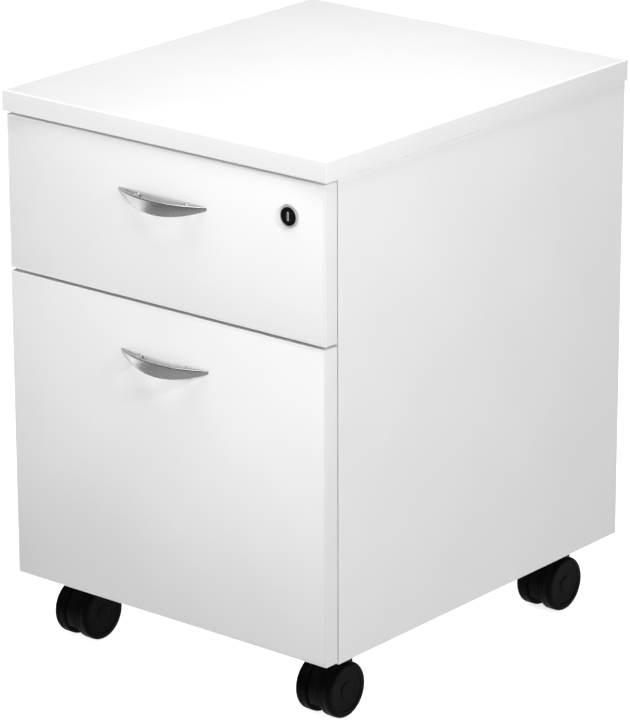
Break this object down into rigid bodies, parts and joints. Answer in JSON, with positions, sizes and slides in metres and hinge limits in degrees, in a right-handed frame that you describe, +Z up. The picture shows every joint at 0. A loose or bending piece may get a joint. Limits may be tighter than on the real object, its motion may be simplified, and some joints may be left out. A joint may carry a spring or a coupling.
{
  "type": "rolling pedestal cabinet",
  "caption": "Rolling office pedestal with an overhanging top, a stationery drawer over a filing drawer, bow handles, a lock and swivelling twin-wheel castors.",
  "frame": {"origin": "on the floor, at the middle of the cabinet's box with its drawers shut", "axes": "+Z up, -Y out of the drawer fronts, +X to the right of a person who faces the drawers"},
  "size_m": [0.43, 0.5154, 0.609],
  "materials": {
    "laminate": "white melamine-faced board with matching edge bands",
    "drawer_steel": "light grey powder coat",
    "slide_steel": "bright zinc plate",
    "handle_metal": "satin silver",
    "lock_metal": "satin nickel",
    "lock_face": "black",
    "fixing_steel": "zinc plate",
    "roller_plastic": "white nylon",
    "castor_plastic": "black nylon",
    "wheel_plastic": "black nylon with a faint sheen"
  },
  "bodies": {
    "cabinet": {"top_panel": "laminate", "left_side_panel": "laminate", "right_side_panel": "laminate", "back_panel": "laminate", "base_panel": "laminate", "front_rail": "laminate", "cam_nuts": "fixing_steel", "cam_bolts": "fixing_steel", "castor_plates": "fixing_steel", "castor_screws": "fixing_steel", "rail_screws": "fixing_steel", "lock_bar_screws": "fixing_steel", "upper_left_cabinet_rail": "slide_steel", "lower_left_cabinet_rail": "slide_steel", "upper_right_cabinet_rail": "slide_steel", "lower_right_cabinet_rail": "slide_steel"},
    "stationery_drawer": {"stationery_front": "laminate", "stationery_handle": "handle_metal", "stationery_screws": "fixing_steel", "stationery_left_side": "drawer_steel", "stationery_right_side": "drawer_steel", "stationery_base": "laminate", "stationery_back": "laminate", "lock_housing": "lock_metal", "lock_nut": "fixing_steel"},
    "lock_core": {"lock_plug": "lock_face", "lock_cam": "lock_metal"},
    "lock_bar": {"lock_bar": "fixing_steel"},
    "filing_drawer": {"filing_front": "laminate", "filing_handle": "handle_metal", "filing_screws": "fixing_steel", "filing_left_side": "drawer_steel", "filing_right_side": "drawer_steel", "filing_base": "laminate", "filing_back": "laminate", "file_rails": "fixing_steel", "lower_left_drawer_rail": "slide_steel", "lower_right_drawer_rail": "slide_steel"},
    "upper_left_cabinet_roller": {"upper_left_cabinet_roller": "roller_plastic"},
    "upper_left_drawer_roller": {"upper_left_drawer_roller": "roller_plastic"},
    "lower_left_middle_rail": {"lower_left_middle_rail": "slide_steel"},
    "upper_right_cabinet_roller": {"upper_right_cabinet_roller": "roller_plastic"},
    "upper_right_drawer_roller": {"upper_right_drawer_roller": "roller_plastic"},
    "lower_right_middle_rail": {"lower_right_middle_rail": "slide_steel"},
    "front_left_castor": {"front_left_castor_housing": "castor_plastic", "front_left_castor_axle": "fixing_steel"},
    "front_left_castor_left_wheel": {"front_left_castor_left_wheel": "wheel_plastic"},
    "front_left_castor_right_wheel": {"front_left_castor_right_wheel": "wheel_plastic"},
    "front_right_castor": {"front_right_castor_housing": "castor_plastic", "front_right_castor_axle": "fixing_steel"},
    "front_right_castor_left_wheel": {"front_right_castor_left_wheel": "wheel_plastic"},
    "front_right_castor_right_wheel": {"front_right_castor_right_wheel": "wheel_plastic"},
    "rear_left_castor": {"rear_left_castor_housing": "castor_plastic", "rear_left_castor_axle": "fixing_steel"},
    "rear_left_castor_left_wheel": {"rear_left_castor_left_wheel": "wheel_plastic"},
    "rear_left_castor_right_wheel": {"rear_left_castor_right_wheel": "wheel_plastic"},
    "rear_right_castor": {"rear_right_castor_housing": "castor_plastic", "rear_right_castor_axle": "fixing_steel"},
    "rear_right_castor_left_wheel": {"rear_right_castor_left_wheel": "wheel_plastic"},
    "rear_right_castor_right_wheel": {"rear_right_castor_right_wheel": "wheel_plastic"}
  },
  "joints": [
    {"name": "stationery_slide", "type": "slide", "parent": "cabinet", "child": "stationery_drawer", "axis": [0, -1, 0], "range_m": [0, 0.33]},
    {"name": "filing_slide", "type": "slide", "parent": "cabinet", "child": "filing_drawer", "axis": [0, -1, 0], "range_m": [0, 0.43]},
    {"name": "lock_turn", "type": "hinge", "parent": "stationery_drawer", "child": "lock_core", "pos_m": [0.1658, -0.2395, 0.545], "axis": [0, -1, 0], "range_deg": [0, 180]},
    {"name": "lock_bar_lift", "type": "slide", "parent": "cabinet", "child": "lock_bar", "axis": [0, 0, 1], "range_m": [0, 0.008]},
    {"name": "upper_left_cabinet_roller_spin", "type": "hinge", "parent": "cabinet", "child": "upper_left_cabinet_roller", "pos_m": [-0.1863, -0.2025, 0.447], "axis": [1, 0, 0], "continuous": true},
    {"name": "upper_left_drawer_roller_spin", "type": "hinge", "parent": "stationery_drawer", "child": "upper_left_drawer_roller", "pos_m": [-0.1863, 0.2025, 0.4436], "axis": [1, 0, 0], "continuous": true},
    {"name": "lower_left_middle_rail_slide", "type": "slide", "parent": "cabinet", "child": "lower_left_middle_rail", "axis": [0, -1, 0], "range_m": [0, 0.215]},
    {"name": "upper_right_cabinet_roller_spin", "type": "hinge", "parent": "cabinet", "child": "upper_right_cabinet_roller", "pos_m": [0.1863, -0.2025, 0.447], "axis": [1, 0, 0], "continuous": true},
    {"name": "upper_right_drawer_roller_spin", "type": "hinge", "parent": "stationery_drawer", "child": "upper_right_drawer_roller", "pos_m": [0.1863, 0.2025, 0.4436], "axis": [1, 0, 0], "continuous": true},
    {"name": "lower_right_middle_rail_slide", "type": "slide", "parent": "cabinet", "child": "lower_right_middle_rail", "axis": [0, -1, 0], "range_m": [0, 0.215]},
    {"name": "front_left_castor_swivel", "type": "hinge", "parent": "cabinet", "child": "front_left_castor", "pos_m": [-0.1671, -0.1618, 0.0775], "axis": [0, 0, 1], "continuous": true},
    {"name": "front_left_castor_left_wheel_spin", "type": "hinge", "parent": "front_left_castor", "child": "front_left_castor_left_wheel", "pos_m": [-0.1671, -0.1798, 0.03], "axis": [1, 0, 0], "continuous": true},
    {"name": "front_left_castor_right_wheel_spin", "type": "hinge", "parent": "front_left_castor", "child": "front_left_castor_right_wheel", "pos_m": [-0.1671, -0.1798, 0.03], "axis": [1, 0, 0], "continuous": true},
    {"name": "front_right_castor_swivel", "type": "hinge", "parent": "cabinet", "child": "front_right_castor", "pos_m": [0.1671, -0.1618, 0.0775], "axis": [0, 0, 1], "continuous": true},
    {"name": "front_right_castor_left_wheel_spin", "type": "hinge", "parent": "front_right_castor", "child": "front_right_castor_left_wheel", "pos_m": [0.1671, -0.1798, 0.03], "axis": [1, 0, 0], "continuous": true},
    {"name": "front_right_castor_right_wheel_spin", "type": "hinge", "parent": "front_right_castor", "child": "front_right_castor_right_wheel", "pos_m": [0.1671, -0.1798, 0.03], "axis": [1, 0, 0], "continuous": true},
    {"name": "rear_left_castor_swivel", "type": "hinge", "parent": "cabinet", "child": "rear_left_castor", "pos_m": [-0.1671, 0.2148, 0.0775], "axis": [0, 0, 1], "continuous": true},
    {"name": "rear_left_castor_left_wheel_spin", "type": "hinge", "parent": "rear_left_castor", "child": "rear_left_castor_left_wheel", "pos_m": [-0.1671, 0.1968, 0.03], "axis": [1, 0, 0], "continuous": true},
    {"name": "rear_left_castor_right_wheel_spin", "type": "hinge", "parent": "rear_left_castor", "child": "rear_left_castor_right_wheel", "pos_m": [-0.1671, 0.1968, 0.03], "axis": [1, 0, 0], "continuous": true},
    {"name": "rear_right_castor_swivel", "type": "hinge", "parent": "cabinet", "child": "rear_right_castor", "pos_m": [0.1671, 0.2148, 0.0775], "axis": [0, 0, 1], "continuous": true},
    {"name": "rear_right_castor_left_wheel_spin", "type": "hinge", "parent": "rear_right_castor", "child": "rear_right_castor_left_wheel", "pos_m": [0.1671, 0.1968, 0.03], "axis": [1, 0, 0], "continuous": true},
    {"name": "rear_right_castor_right_wheel_spin", "type": "hinge", "parent": "rear_right_castor", "child": "rear_right_castor_right_wheel", "pos_m": [0.1671, 0.1968, 0.03], "axis": [1, 0, 0], "continuous": true}
  ],
  "couplings": [
    {"joint": "lock_turn", "follows": "lock_bar_lift", "rad_per_m": 392.69},
    {"joint": "upper_left_cabinet_roller_spin", "follows": "stationery_slide", "rad_per_m": 83.333},
    {"joint": "upper_left_drawer_roller_spin", "follows": "stationery_slide", "rad_per_m": 83.333},
    {"joint": "lower_left_middle_rail_slide", "follows": "filing_slide", "ratio": 0.5},
    {"joint": "upper_right_cabinet_roller_spin", "follows": "stationery_slide", "rad_per_m": 83.333},
    {"joint": "upper_right_drawer_roller_spin", "follows": "stationery_slide", "rad_per_m": 83.333},
    {"joint": "lower_right_middle_rail_slide", "follows": "filing_slide", "ratio": 0.5}
  ]
}
